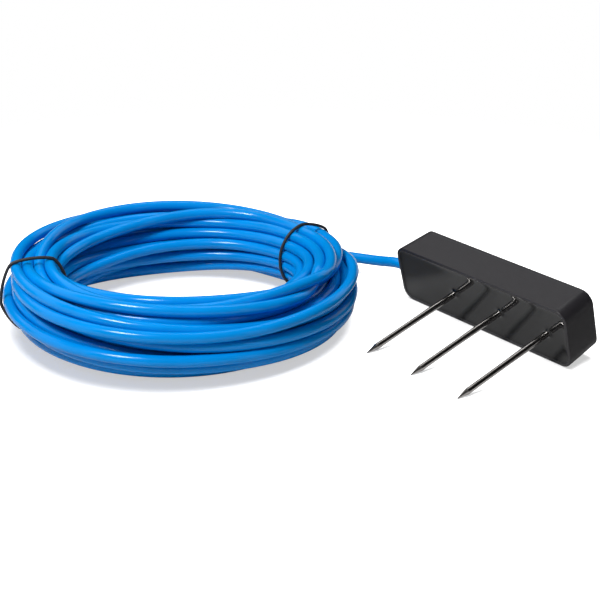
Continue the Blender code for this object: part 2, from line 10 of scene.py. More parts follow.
import bpy
import numpy as np
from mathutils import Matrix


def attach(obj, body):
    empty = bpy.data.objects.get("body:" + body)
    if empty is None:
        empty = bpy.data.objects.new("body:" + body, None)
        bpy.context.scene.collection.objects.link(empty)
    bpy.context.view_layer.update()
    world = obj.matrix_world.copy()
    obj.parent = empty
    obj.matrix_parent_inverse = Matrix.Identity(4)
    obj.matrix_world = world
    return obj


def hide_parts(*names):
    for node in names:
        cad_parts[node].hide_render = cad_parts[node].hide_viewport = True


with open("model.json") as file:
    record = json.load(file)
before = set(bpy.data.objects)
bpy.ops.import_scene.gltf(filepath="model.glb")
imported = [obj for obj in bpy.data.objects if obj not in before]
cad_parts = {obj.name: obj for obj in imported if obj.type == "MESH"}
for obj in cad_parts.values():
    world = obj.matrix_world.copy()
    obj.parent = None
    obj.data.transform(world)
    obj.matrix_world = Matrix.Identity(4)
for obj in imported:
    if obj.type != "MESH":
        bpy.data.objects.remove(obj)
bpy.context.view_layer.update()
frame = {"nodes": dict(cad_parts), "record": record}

bl_info = {
    "name": "Soil moisture probe",
    "version": (1, 0, 0),
    "blender": (4, 5, 0),
    "location": "3D View > Sidebar > Probe",
    "description": "Builds the visible pieces of a potted soil moisture probe and its coiled cable",
    "category": "Add Mesh",
}

BODY = "root"
UP = (0.0, 0.0, 1.0)
WHITE = (1.0, 1.0, 1.0, 1.0)
CIRCLE = 2 * math.pi
GAP = 0.0003

# Cup and resin, in the head's own frame: +X along the cup, -Y out of the pin face, +Z up
CUP_LENGTH = 0.112
CUP_HEIGHT = 0.031
CUP_DEPTH = 0.020
CUP_CORNER = 0.0063
CUP_CORNER_LEAST = 0.0006
CUP_END_DRAFT = 0.0014
CUP_WALL = 0.0018
CUP_BACK_WALL = 0.0020
CUP_EDGE = 0.0003
CUP_LIP = 0.00015
CUP_BACK_INSET = 0.0040
FLAT_MARGIN = 0.0003
PIN_FACE = -CUP_DEPTH / 2
CUP_BACK = CUP_DEPTH / 2
CUP_FLOOR = CUP_BACK - CUP_BACK_WALL
RESIN_FACE = PIN_FACE + 0.0004
RESIN_BACK = RESIN_FACE + 0.0050
RESIN_SKIRT = 0.0025
RESIN_CLEARANCE = 0.00002
RESIN_COLUMNS = 360
RESIN_ROWS = 120
RIM_CLIMB_WIDTH = 0.0008
ROD_CLIMB_WIDTH = 0.0009

# Unevenness of the resin: its height, and each wave's rates along X and Z and its phase
RESIN_UNEVEN = 0.00002
RESIN_WAVES = ((310.0, 120.0, 0.0), (-90.0, 260.0, 0.7))

# Rods: the row's places, the drops of the rounded shoulder and the radii at distances from the tip
ROD_PITCH = 0.030
ROD_ROW_OFFSET = 0.0134
ROD_ROW_HEIGHT = 0.0005
ROD_PLACES = {name: ROD_ROW_OFFSET + step * ROD_PITCH
              for step, name in enumerate(("left", "middle", "right"), -1)}
ROD_EXPOSED = 0.0588
ROD_INNER_END = 0.0044
ROD_END_EDGE = 0.0002
ROD_END_MIDDLE = 0.0004
ROD_TIP_LENGTH = 0.0060
ROD_TIP_RADIUS = 0.0002
ROD_TIP_PROFILE = ((0.00026, 0.0004), (ROD_TIP_RADIUS, 0.0001), (0.00012, 0.0), (0.00003, 0.0))
ROD_SHOULDER_STEP = 0.00025
ROD_SHOULDER_DROPS = (0.0, 0.0, 0.00003, 0.00012, 0.00019)

# The head lies on the lower edge of its pin face and on the rod tips
HEAD_PLACE = (0.0, 0.0265374, 0.0175640)
HEAD_TILT = math.atan2(CUP_HEIGHT / 2 + ROD_ROW_HEIGHT - ROD_TIP_RADIUS, ROD_EXPOSED)


def end_draft(y):
    """How far the cup's ends have drawn in at a depth, from nothing at the pin face."""
    return CUP_END_DRAFT * (y - PIN_FACE) / CUP_DEPTH


# Gland: radii, and stations along the head's X axis from its mouth to the cable's end inside
CABLE_DIAMETER = 0.0055
GLAND_AXIS = (RESIN_BACK + CABLE_DIAMETER / 2, -0.0030)
GLAND_GRIP = 0.00005
GLAND_NECK = CABLE_DIAMETER / 2 + GAP + 0.0012
GLAND_FLANGE = GLAND_NECK + 0.0014
GLAND_FLANGE_SEAT = end_draft(GLAND_AXIS[0] - GLAND_FLANGE) - CUP_LENGTH / 2 - GAP
GLAND_FLANGE_TOP = GLAND_FLANGE_SEAT - 0.0014
GLAND_MOUTH = GLAND_FLANGE_TOP - 0.0045
GLAND_RING_SEAT = end_draft(GLAND_AXIS[0] + GLAND_FLANGE) + CUP_WALL - CUP_LENGTH / 2 + GAP
GLAND_INNER = GLAND_RING_SEAT + 0.0016
INNER_CABLE_END = GLAND_INNER + 0.0057

# Lead and tail, in the row frame: the lead's points, and the tail's degrees, radius and height
# about the coil's axis
COIL_CENTRE = np.array((-0.1047, -0.0832))
COIL_START = math.radians(165.0)
ON_FLOOR = 0.0028
LEAD_ROUTE = (
    (-0.0770, 0.0256, 0.0116), (-0.0900, 0.0250, 0.0090), (-0.1045, 0.0236, 0.0066),
    (-0.1210, 0.0186, 0.0046), (-0.1390, 0.0088, 0.0032), (-0.1570, -0.0050, ON_FLOOR),
    (-0.1770, -0.0270, ON_FLOOR),
)
LEAD_END_RADIUS = 0.0855
LEAD_END_TURN = math.radians(10.0)
LEAD_END_CLOSING = 0.0010
TAIL_ROUTE = (
    (100.0, 0.0800, 0.0300), (112.0, 0.0845, 0.0262), (124.0, 0.0885, 0.0195), (139.0, 0.0945, 0.0110),
    (153.0, 0.0988, 0.0053), (167.5, 0.1004, 0.0029), (177.3, 0.1004, ON_FLOOR),
)
LEAD_FREE = math.radians(45.0)
TAIL_FREE = math.radians(14.0)
ROUTE_SPACING = 0.0040
ROUTE_POINTS = 2400
JOIN_REACH = 0.035
JOIN_ROUNDS = 40
CABLE_RING_SPACING = 0.0042

# Ties: angle round the coil, reach of the squeeze, half width and half height of the pile there
TIES = {
    "left": (math.radians(247.0), math.radians(24.0), 0.0150, 0.0200),
    "right": (math.radians(84.0), math.radians(38.0), 0.0140, 0.0170),
}
TIE_SMOOTHING = math.radians(12.0)
TIE_GROWTH = 0.8
TIE_CLEARANCE = 0.0001

# Pile: swells of its half height and their directions, and where it spreads inwards
PILE_SWELLS = ((0.0012, math.radians(185.0)), (0.0006, math.radians(330.0)))
PILE_SPREAD = 0.0015
PILE_SPREAD_ANGLE = math.radians(141.0)

# Settling: the winding that it starts from, and how its rounds push, hold and smooth
STATIONS = 96
TURNS_PER_SWEEP = 4.7
WINDING_FULLNESS = 1.02
TWIST_ANGLE = math.radians(120.0)
KNOTS_PER_TURN = 4
ROUNDS = 320
CALM_ROUNDS = 60
EASE_ROUNDS = 0.75 * ROUNDS
FIRST_SPACING = 1.20
SPACING_DROP = 0.19
PUSH = 0.42
HOLD_LOOSE = 0.10
HOLD_AT_TIE = 0.75
HOLD_START = (-0.10, 0.40)
HOLD_END = (0.20, 0.30)
SMOOTHING = 0.30
CALM_SMOOTHING = 0.15

# Stripped end: the cores, and the crimped sleeve's radii at its stations
CORE_COLOURS = {
    "red": (0.60, 0.03, 0.02, 1.0),
    "black": (0.02, 0.02, 0.02, 1.0),
    "yellow": (0.80, 0.55, 0.03, 1.0),
    "white": (0.80, 0.80, 0.78, 1.0),
}
CORE_DIAMETER = 0.0012
CORE_SPREAD = 0.0008
CORE_LENGTH = 0.0260
CORE_FAN = 0.0020
CORE_REST = 0.0010
CORE_IN_JACKET = 0.0020
CORE_IN_SLEEVE = 0.0010
CORE_RING_SPACING = 0.0008
CORE_GLOSS = 0.34
CORE_GRAIN = 1800.0
SLEEVE_PROFILE = (
    (0.00045, 0.0), (0.00085, 0.0), (0.00090, 0.0002), (0.00090, 0.0016), (0.00070, 0.0021),
    (0.00068, 0.0032), (0.00060, 0.0036), (0.00060, 0.0044), (0.00068, 0.0048),
    (0.00068, 0.0078), (0.00060, 0.0080), (0.00030, 0.0080),
)
TIN = (0.70, 0.70, 0.70, 1.0)

# Stage: the floor's fade, and each soft box's place, aim and size
FLOOR_MIDDLE = (-0.08, -0.06, 0.0)
FLOOR_FADE = (0.21, 0.40)
FLOOR_HALF = 4.0
KEY_BOX = ((0.02, -0.62, 0.78), (-0.06, -0.05, 0.0), (0.22, 0.26))
TOP_BOX = ((-0.30, 0.20, 0.95), (-0.06, -0.03, 0.0), (0.60, 0.40))
FLOOR_BOX = ((-0.06, -0.07, 1.00), (-0.06, -0.06, 0.0), (0.90, 0.90))
SENSOR_WIDTH = 36.0
CLIP = (0.02, 20.0)


class CableSettings(bpy.types.PropertyGroup):
    """Sizes and colours of the cable, its coil and its ties."""

    diameter: bpy.props.FloatProperty(
        name="Cable diameter", description="Outside diameter of the jacket",
        default=CABLE_DIAMETER, unit="LENGTH")
    loops: bpy.props.IntProperty(
        name="Loops", description="Turns in the coil", default=24, min=4)
    length: bpy.props.FloatProperty(
        name="Cable length", description="Length from the gland to the stripped end",
        default=10.6, unit="LENGTH")
    coil_radius: bpy.props.FloatProperty(
        name="Coil radius", description="Mean radius of the pile's middle", default=0.0681, unit="LENGTH")
    coil_oval: bpy.props.FloatProperty(
        name="Coil oval", description="How far the radius grows and shrinks round the coil",
        default=0.0044, unit="LENGTH")
    oval_angle: bpy.props.FloatProperty(
        name="Oval direction", description="Direction of the coil's long axis",
        default=math.radians(70.0), subtype="ANGLE")
    pile_width: bpy.props.FloatProperty(
        name="Pile half width", description="Half the width of the pile between the ties",
        default=0.0206, unit="LENGTH")
    pile_height: bpy.props.FloatProperty(
        name="Pile half height", description="Half the height of the pile between the ties",
        default=0.0194, unit="LENGTH")
    wander: bpy.props.FloatProperty(
        name="Wander", description="How far a turn strays from its slot before the pile settles",
        default=0.0030, unit="LENGTH")
    twist: bpy.props.FloatProperty(
        name="Twist", description="How far the pile turns about its own middle between the ties",
        default=math.radians(24.0), subtype="ANGLE")
    seed: bpy.props.IntProperty(
        name="Seed", description="Starts the wander's random numbers", default=11)
    tie_thickness: bpy.props.FloatProperty(
        name="Tie thickness", description="Thickness of the elastic ties", default=0.0016, unit="LENGTH")
    jacket: bpy.props.FloatVectorProperty(
        name="Jacket colour", description="Colour of the cable's jacket", size=4, subtype="COLOR",
        default=(0.0, 0.242, 0.685, 1.0), min=0.0, max=1.0)
    tie: bpy.props.FloatVectorProperty(
        name="Tie colour", description="Colour of the ties", size=4, subtype="COLOR",
        default=(0.010, 0.010, 0.011, 1.0), min=0.0, max=1.0)


class HeadSettings(bpy.types.PropertyGroup):
    """Sizes and colours of the cup, the resin and the rods."""

    rod_diameter: bpy.props.FloatProperty(
        name="Rod diameter", description="Diameter of the steel rods", default=0.0030, unit="LENGTH")
    rim_climb: bpy.props.FloatProperty(
        name="Rim climb", description="How far the resin climbs the cup's wall",
        default=0.00024, unit="LENGTH")
    rod_climb: bpy.props.FloatProperty(
        name="Rod climb", description="How far the resin climbs the rods", default=0.0008, unit="LENGTH")
    cup: bpy.props.FloatVectorProperty(
        name="Cup colour", description="Colour of the moulded cup", size=4, subtype="COLOR",
        default=(0.0145, 0.0134, 0.0162, 1.0), min=0.0, max=1.0)
    resin: bpy.props.FloatVectorProperty(
        name="Resin colour", description="Colour of the potting resin", size=4, subtype="COLOR",
        default=(0.005, 0.005, 0.0055, 1.0), min=0.0, max=1.0)
    steel: bpy.props.FloatVectorProperty(
        name="Rod colour", description="Colour of the polished rods", size=4, subtype="COLOR",
        default=(0.43, 0.41, 0.395, 1.0), min=0.0, max=1.0)


class StageSettings(bpy.types.PropertyGroup):
    """Camera and light."""

    lens: bpy.props.FloatProperty(
        name="Lens", description="Focal length of the camera", default=83.7, unit="CAMERA")
    azimuth: bpy.props.FloatProperty(
        name="Azimuth", description="Turn of the camera about the vertical",
        default=math.radians(51.24), subtype="ANGLE")
    elevation: bpy.props.FloatProperty(
        name="Elevation", description="Height of the camera over the horizon",
        default=math.radians(23.06), subtype="ANGLE")
    place: bpy.props.FloatVectorProperty(
        name="Camera place", description="Where the camera stands", size=3, subtype="TRANSLATION",
        default=(0.4252, -0.4348, 0.2791))
    key_power: bpy.props.FloatProperty(
        name="Key power", description="Power of the main soft box", default=8.6, unit="POWER")
    top_power: bpy.props.FloatProperty(
        name="Top power", description="Power of the soft box overhead", default=3.0, unit="POWER")
    floor_power: bpy.props.FloatProperty(
        name="Floor power", description="Power of the box that lights only the floor that shows",
        default=42.0, unit="POWER")
    floor_glow: bpy.props.FloatProperty(
        name="Floor glow", description="Glow of the floor that shows, which its shadows keep", default=0.54)
    surround: bpy.props.FloatProperty(
        name="Surround", description="Strength of the room's light on matt surfaces", default=0.24)


def unit(vectors):
    """Vectors scaled to length one."""
    return vectors / np.linalg.norm(vectors, axis=-1, keepdims=True)


def turned_away(angles, other):
    """Angles seen from another angle, between minus and plus half a circle."""
    return (angles - other + math.pi) % CIRCLE - math.pi


def run_lengths(points):
    """Distance along a run of points, from its first point."""
    return np.concatenate([[0.0], np.cumsum(np.linalg.norm(np.diff(points, axis=0), axis=1))])


def resampled(points, count):
    """A number of points at equal distances along a run of points."""
    along = run_lengths(points)
    wanted = np.linspace(0.0, along[-1], count)
    return np.stack([np.interp(wanted, along, points[:, k]) for k in range(3)], axis=1)


def smooth_route(points, spacing, steps=40):
    """Points at a spacing along the Catmull-Rom curve through the given points.

    Between points b and c, with neighbours a and d, the curve is the cubic
    (2b + (c-a)t + (2a-5b+4c-d)t^2 + (3b-3c+d-a)t^3) / 2 for t from 0 to 1.
    """
    given = np.array(points, dtype=float)
    padded = np.vstack([2 * given[0] - given[1], given, 2 * given[-1] - given[-2]])
    a, b, c, d = (padded[k:len(padded) - 3 + k, None, :] for k in range(4))
    t = np.linspace(0.0, 1.0, steps, endpoint=False)[None, :, None]
    curve = (2 * b + (c - a) * t + (2 * a - 5 * b + 4 * c - d) * t**2 + (3 * b - 3 * c + d - a) * t**3) / 2
    fine = np.vstack([curve.reshape(-1, 3), given[-1:]])
    return resampled(fine, int(round(run_lengths(fine)[-1] / spacing)) + 1)


def from_head(points):
    """Points of the head's own frame in the row frame: turned about X by the tilt, then moved."""
    x, y, z = np.moveaxis(np.asarray(points, dtype=float), -1, 0)
    turned_y = y * math.cos(HEAD_TILT) - z * math.sin(HEAD_TILT)
    turned_z = y * math.sin(HEAD_TILT) + z * math.cos(HEAD_TILT)
    return np.stack([x, turned_y, turned_z], axis=-1) + np.array(HEAD_PLACE)


def corner_quads(grid):
    """The four corners of each cell of a grid, in order round the cell."""
    return np.stack([grid[:-1, :-1], grid[:-1, 1:], grid[1:, 1:], grid[1:, :-1]], axis=2)


def grid_faces(rows, columns, close_rows=False, close_columns=True):
    """Four-sided faces of a grid of points, as rows of point numbers."""
    index = np.arange(rows * columns).reshape(rows, columns)
    if close_rows:
        index = np.vstack([index, index[:1]])
    if close_columns:
        index = np.hstack([index, index[:, :1]])
    return corner_quads(index).reshape(-1, 4)


def signed_volume(points, faces):
    """Sum over a mesh's faces of six times the volumes of their fans to the origin."""
    total = 0.0
    for size in sorted({len(face) for face in faces}):
        corners = points[np.array([face for face in faces if len(face) == size])]
        total += np.einsum("nk,nmk->", corners[:, 0], np.cross(corners[:, 1:-1], corners[:, 2:]))
    return total


def put_mesh(name, points, faces, finish, replaced, uv=None):
    """A smooth closed piece at the origin that rides on the body.

    uv holds the corners of the first faces, which are quads, on the map along and around the piece.
    """
    points = np.asarray(points, dtype=float).reshape(-1, 3)
    flipped = signed_volume(points - points.mean(axis=0), faces) < 0.0
    if flipped:
        faces = [face[::-1] for face in faces]
    mesh = bpy.data.meshes.new(name)
    mesh.from_pydata(points.tolist(), [], faces)
    mesh.polygons.foreach_set("use_smooth", np.ones(len(mesh.polygons), dtype=bool))
    if uv is not None:
        corners = uv[:, ::-1] if flipped else uv
        layer = mesh.uv_layers.new(name="along_and_around")
        flat = np.zeros((len(mesh.loops), 2))
        flat[:corners.shape[0] * 4] = corners.reshape(-1, 2)
        layer.data.foreach_set("uv", flat.ravel())
    mesh.materials.append(finish)
    mesh.validate()
    piece = bpy.data.objects.new(name, mesh)
    bpy.context.scene.collection.objects.link(piece)
    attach(piece, BODY)
    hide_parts(*replaced)


def capped_faces(count, around):
    """Faces of a stack of rings with a flat face on the first and on the last ring."""
    faces = grid_faces(count, around).tolist()
    faces.append(list(range(around))[::-1])
    faces.append(list(range((count - 1) * around, count * around)))
    return faces


def ring_stack(name, rings, finish, replaced):
    """A closed surface through rings of points, with flat ends."""
    count, around = rings.shape[:2]
    put_mesh(name, rings, capped_faces(count, around), finish, replaced)


def tube_rings(path, radius, sides, reference, closed):
    """Rings round a path: at each point, radius times (cos a side + sin a up).

    side is the tangent crossed with the reference, and up is side crossed with the tangent.
    """
    if closed:
        tangent = unit(np.roll(path, -1, axis=0) - np.roll(path, 1, axis=0))
    else:
        tangent = unit(np.gradient(path, axis=0))
    side = unit(np.cross(tangent, np.asarray(reference, dtype=float)))
    up = np.cross(side, tangent)
    angle = np.linspace(0.0, CIRCLE, sides, endpoint=False)[None, :, None]
    return path[:, None, :] + radius * (np.cos(angle) * side[:, None, :] + np.sin(angle) * up[:, None, :])


def tube_uv(path, sides, closed):
    """Corners of a tube's quads on a map of metres along the path and turns around it."""
    run = np.vstack([path, path[:1]]) if closed else path
    around = np.linspace(0.0, 1.0, sides + 1)
    grid = np.stack(np.meshgrid(run_lengths(run), around, indexing="ij"), axis=-1)
    return corner_quads(grid).reshape(-1, 4, 2)


def tube(name, path, radius, sides, reference, finish, replaced, closed=False):
    """A tube along a path, with flat ends or joined end to end, and a map along and around it."""
    rings = tube_rings(path, radius, sides, reference, closed)
    count = len(path)
    faces = grid_faces(count, sides, close_rows=True).tolist() if closed else capped_faces(count, sides)
    put_mesh(name, rings, faces, finish, replaced, tube_uv(path, sides, closed))


def turned_rings(profile, sides):
    """Rings of a profile of (radius, station) points turned about an axis, as (side, up, station)."""
    radius, station = np.asarray(profile, dtype=float).T
    angle = np.linspace(0.0, CIRCLE, sides, endpoint=False)
    across = radius[:, None] * np.cos(angle)
    upward = radius[:, None] * np.sin(angle)
    return np.stack([across, upward, np.broadcast_to(station[:, None], across.shape)], axis=-1)


def rounded_outline(half_length, half_height, corner, per_corner=12, per_side=6, near=0.0005):
    """Points round a rectangle with circular corners, as (x, z).

    Each corner is a quarter circle about its own centre, and each straight side has
    points close to its ends, so that the sides shade flat.
    """
    turn = np.linspace(0.0, math.pi / 2, per_corner)
    pieces = []
    for quarter, (sx, sz) in enumerate(((1, 1), (-1, 1), (-1, -1), (1, -1))):
        angle = turn + quarter * math.pi / 2
        centre = np.array((sx * (half_length - corner), sz * (half_height - corner)))
        arc = centre + corner * np.stack([np.cos(angle), np.sin(angle)], axis=1)
        direction = np.array((-math.sin(angle[-1]), math.cos(angle[-1])))
        side = 2 * (half_length - corner if quarter % 2 == 0 else half_height - corner)
        steps = np.linspace(near, side - near, per_side)
        pieces += [arc, arc[-1] + steps[:, None] * direction]
    return np.vstack(pieces)


def cup_rings(stations):
    """Rings of the cup's outline at (inset, y) stations, in the row frame.

    A ring is the outline drawn in by inset. Its x shrinks towards the back by the ends' draft.
    """
    rings = []
    for inset, y in stations:
        half_length = CUP_LENGTH / 2 - inset
        corner = max(CUP_CORNER - inset, CUP_CORNER_LEAST)
        outline = rounded_outline(half_length, CUP_HEIGHT / 2 - inset, corner)
        outline[:, 0] *= 1.0 - end_draft(y) / half_length
        rings.append(np.stack([outline[:, 0], np.full(len(outline), y), outline[:, 1]], axis=1))
    return from_head(np.array(rings))


def quarter_round(start, end, steps=5):
    """Stations of a quarter ellipse from start to end that leaves start along the first axis."""
    angle = np.linspace(0.0, math.pi / 2, steps)
    (a0, b0), (a1, b1) = start, end
    return [(a0 + (a1 - a0) * math.sin(t), b0 + (b1 - b0) * (1 - math.cos(t))) for t in angle]


class Wire:
    """A socket of a node tree that can stand in sums and products."""

    def __init__(self, finish, socket):
        self.finish = finish
        self.socket = socket

    def _math(self, operation, other):
        return self.finish.node("Math", {"operation": operation}, {0: self, 1: other})

    def __add__(self, other):
        return self._math("ADD", other)

    def __mul__(self, other):
        return self._math("MULTIPLY", other)

    __radd__ = __add__
    __rmul__ = __mul__


class Finish:
    """The nodes that give a material or a world its look."""

    def __init__(self, owner):
        owner.use_nodes = True
        self.owner = owner
        self.tree = owner.node_tree
        self.tree.nodes.clear()

    def node(self, kind, settings=None, inputs=None, output=0):
        """Adds a node, sets it up, fills or links its sockets and gives one of its outputs."""
        made = self.tree.nodes.new("ShaderNode" + kind)
        for key, value in (settings or {}).items():
            setattr(made, key, value)
        for key, value in (inputs or {}).items():
            if isinstance(value, Wire):
                self.tree.links.new(value.socket, made.inputs[key])
            else:
                made.inputs[key].default_value = value
        return Wire(self, made.outputs[output]) if made.outputs else None

    def object_place(self):
        """The point on the object, in metres."""
        return self.node("TexCoord", output="Object")

    def lay(self):
        """The piece's own map as a vector, and its two parts: metres along and turns around."""
        vector = self.node("UVMap", {"uv_map": "along_and_around"})
        along = self.node("SeparateXYZ", None, {0: vector})
        return vector, along, Wire(self, along.socket.node.outputs[1])

    def spiral(self, along, around, rate, starts=2):
        """A wave round a cord: the sine of rate times along plus starts turns of around."""
        return self.node("Math", {"operation": "SINE"}, {0: along * rate + around * (starts * CIRCLE)})

    def noise(self, place, scale, detail=2.0, roughness=0.5):
        """Soft noise from 0 to 1, with scale patches to the metre."""
        return self.node("TexNoise", None, {
            "Vector": place, "Scale": scale, "Detail": detail, "Roughness": roughness})

    def streaks(self, place, scales):
        """Soft noise with its own number of patches to the metre on each axis."""
        return self.noise(self.node("VectorMath", {"operation": "MULTIPLY"}, {0: place, 1: scales}), 1.0)

    def tones(self, factor, colour, low, high):
        """A colour between a darker and a lighter shade of itself."""
        shades = [tuple(min(part * share, 1.0) for part in colour[:3]) + (1.0,) for share in (low, high)]
        return self.node("Mix", {"data_type": "RGBA"}, {0: factor, 6: shades[0], 7: shades[1]}, output=2)

    def bump(self, height, strength, distance):
        """A normal from a height."""
        return self.node("Bump", None, {"Strength": strength, "Distance": distance, "Height": height})

    def end(self, shader, kind="OutputMaterial"):
        """Ends the tree in a shader and gives what it belongs to."""
        self.node(kind, None, {"Surface": shader})
        return self.owner

    def surface(self, **sockets):
        """Ends the material in a Principled shader with these sockets."""
        named = {key.replace("_", " "): value for key, value in sockets.items()}
        return self.end(self.node("BsdfPrincipled", None, named))


def new_finish(name):
    """A new material's nodes."""
    return Finish(bpy.data.materials.new(name))


def jacket_finish(settings):
    """Glossy extruded blue jacket: faint ripple of the twisted cores, drawn lines and cloudy gloss."""
    finish = new_finish("cable_jacket_blue")
    lay, along, around = finish.lay()
    place = finish.object_place()
    ripple = finish.spiral(along, around, rate=130.0)
    lines = finish.streaks(lay, (9.0, 14.0, 1.0))
    clouds = finish.noise(place, 55.0)
    specks = finish.noise(place, 900.0, detail=3.0)
    height = ripple * 0.30 + lines * 0.50 + specks * 0.12
    return finish.surface(
        Base_Color=finish.tones(clouds, settings.jacket, 0.90, 1.10),
        Roughness=0.10 + 0.08 * clouds + 0.04 * specks, IOR=1.50, Specular_IOR_Level=0.22,
        Normal=finish.bump(height, strength=0.35, distance=0.00012))


def tie_finish(settings):
    """Matt black elastic cord with the fine diagonal rib of its braid."""
    finish = new_finish("tie_elastic_black")
    _, along, around = finish.lay()
    rib = finish.spiral(along, around, rate=7000.0)
    fuzz = finish.noise(finish.object_place(), 2500.0)
    return finish.surface(
        Base_Color=finish.tones(fuzz, settings.tie, 1.0, 2.2), Roughness=0.45 + 0.2 * fuzz,
        Normal=finish.bump(rib * 0.5 + fuzz * 0.3, strength=0.4, distance=0.00008))


def cup_finish(settings):
    """Moulded black plastic: fine spark texture, cloudy sheen and faint flow lines."""
    finish = new_finish("cup_plastic_black")
    place = finish.object_place()
    grain = finish.noise(place, 3200.0, detail=3.0, roughness=0.6)
    clouds = finish.noise(place, 38.0, detail=3.0, roughness=0.55)
    flow = finish.streaks(place, (30.0, 260.0, 260.0))
    return finish.surface(
        Base_Color=finish.tones(clouds, settings.cup, 0.85, 1.2),
        Roughness=0.30 + 0.10 * clouds + 0.10 * grain, IOR=1.50, Specular_IOR_Level=0.54,
        Normal=finish.bump(grain * 0.7 + flow * 0.3, strength=0.18, distance=0.00010))


def resin_finish(settings):
    """Cast black resin: mirror gloss with slight haze, and a skin that is not quite flat."""
    finish = new_finish("potting_resin_black")
    place = finish.object_place()
    haze = finish.noise(place, 70.0, detail=4.0, roughness=0.6)
    skin = finish.noise(place, 140.0)
    dust = finish.noise(place, 1400.0, detail=1.0)
    return finish.surface(
        Base_Color=finish.tones(haze, settings.resin, 0.8, 1.5),
        Roughness=0.03 + 0.05 * haze + 0.03 * dust, IOR=1.50, Specular_IOR_Level=0.48,
        Normal=finish.bump(skin, strength=0.10, distance=0.00010))


def steel_finish(name, colour, low, streak):
    """Bright drawn metal: fine lines along the piece, cloudy polish."""
    finish = new_finish(name)
    place = finish.object_place()
    drawn = finish.streaks(place, streak)
    clouds = finish.noise(place, 160.0, detail=3.0)
    return finish.surface(
        Base_Color=finish.tones(clouds, colour, 0.92, 1.05), Metallic=1.0,
        Roughness=low + 0.10 * drawn + 0.05 * clouds,
        Normal=finish.bump(drawn, strength=0.06, distance=0.00005))


def moulded_finish(name, colour, roughness, grain_scale):
    """Plain moulded or extruded piece: two-tone clouds, fine grain in gloss and relief."""
    finish = new_finish(name)
    place = finish.object_place()
    grain = finish.noise(place, grain_scale, detail=3.0, roughness=0.6)
    clouds = finish.noise(place, grain_scale / 12)
    return finish.surface(
        Base_Color=finish.tones(clouds, colour, 0.85, 1.12), Roughness=roughness - 0.06 + 0.12 * grain,
        Normal=finish.bump(grain, strength=0.15, distance=0.00008))


def polar(points):
    """Radius, angle and height of points about the coil's axis, with angles that run on."""
    x, y = (points[:, :2] - COIL_CENTRE).T
    return np.hypot(x, y), np.unwrap(np.arctan2(y, x)), points[:, 2]


def around_coil(radius, angle, height):
    """Points of the row frame at a radius, an angle and a height about the coil's axis."""
    x = COIL_CENTRE[0] + radius * np.cos(angle)
    y = COIL_CENTRE[1] + radius * np.sin(angle)
    return np.stack([x, y, height], axis=-1)


def pile_shape(settings, angles):
    """Middle radius, middle height and half sizes of the pile at each angle, and how tight it is.

    The middle radius is an oval. The half sizes go smoothly to each tie's own near that tie, by a
    bell that falls off on both sides of it, where the pile also stands on the tie instead of the
    floor. Cosines add the swells of the height and the spread of the width.
    """
    oval = settings.coil_radius + settings.coil_oval * np.cos(2 * (angles - settings.oval_angle))
    width, height, tight = settings.pile_width, settings.pile_height, 0.0
    for angle, reach, tie_width, tie_height in TIES.values():
        near = np.exp(-(turned_away(angles, angle) / reach) ** 2)
        width = width + (tie_width - settings.pile_width) * near
        height = height + (tie_height - settings.pile_height) * near
        tight = np.maximum(tight, near)
    for swell, angle in PILE_SWELLS:
        height = height + swell * np.cos(angles - angle)
    spread = PILE_SPREAD * np.cos(angles - PILE_SPREAD_ANGLE) ** 2
    return oval - spread, height + settings.tie_thickness * tight, width + spread, height, tight


def smooth_noise(rng, count, knots):
    """A smooth random run from normal values at knots, joined by cosine steps."""
    values = rng.normal(size=knots + 2)
    place = np.linspace(0.0, knots, count)
    first = np.floor(place).astype(int)
    blend = (1 - np.cos(np.pi * (place - first))) / 2
    return values[first] * (1 - blend) + values[first + 1] * blend


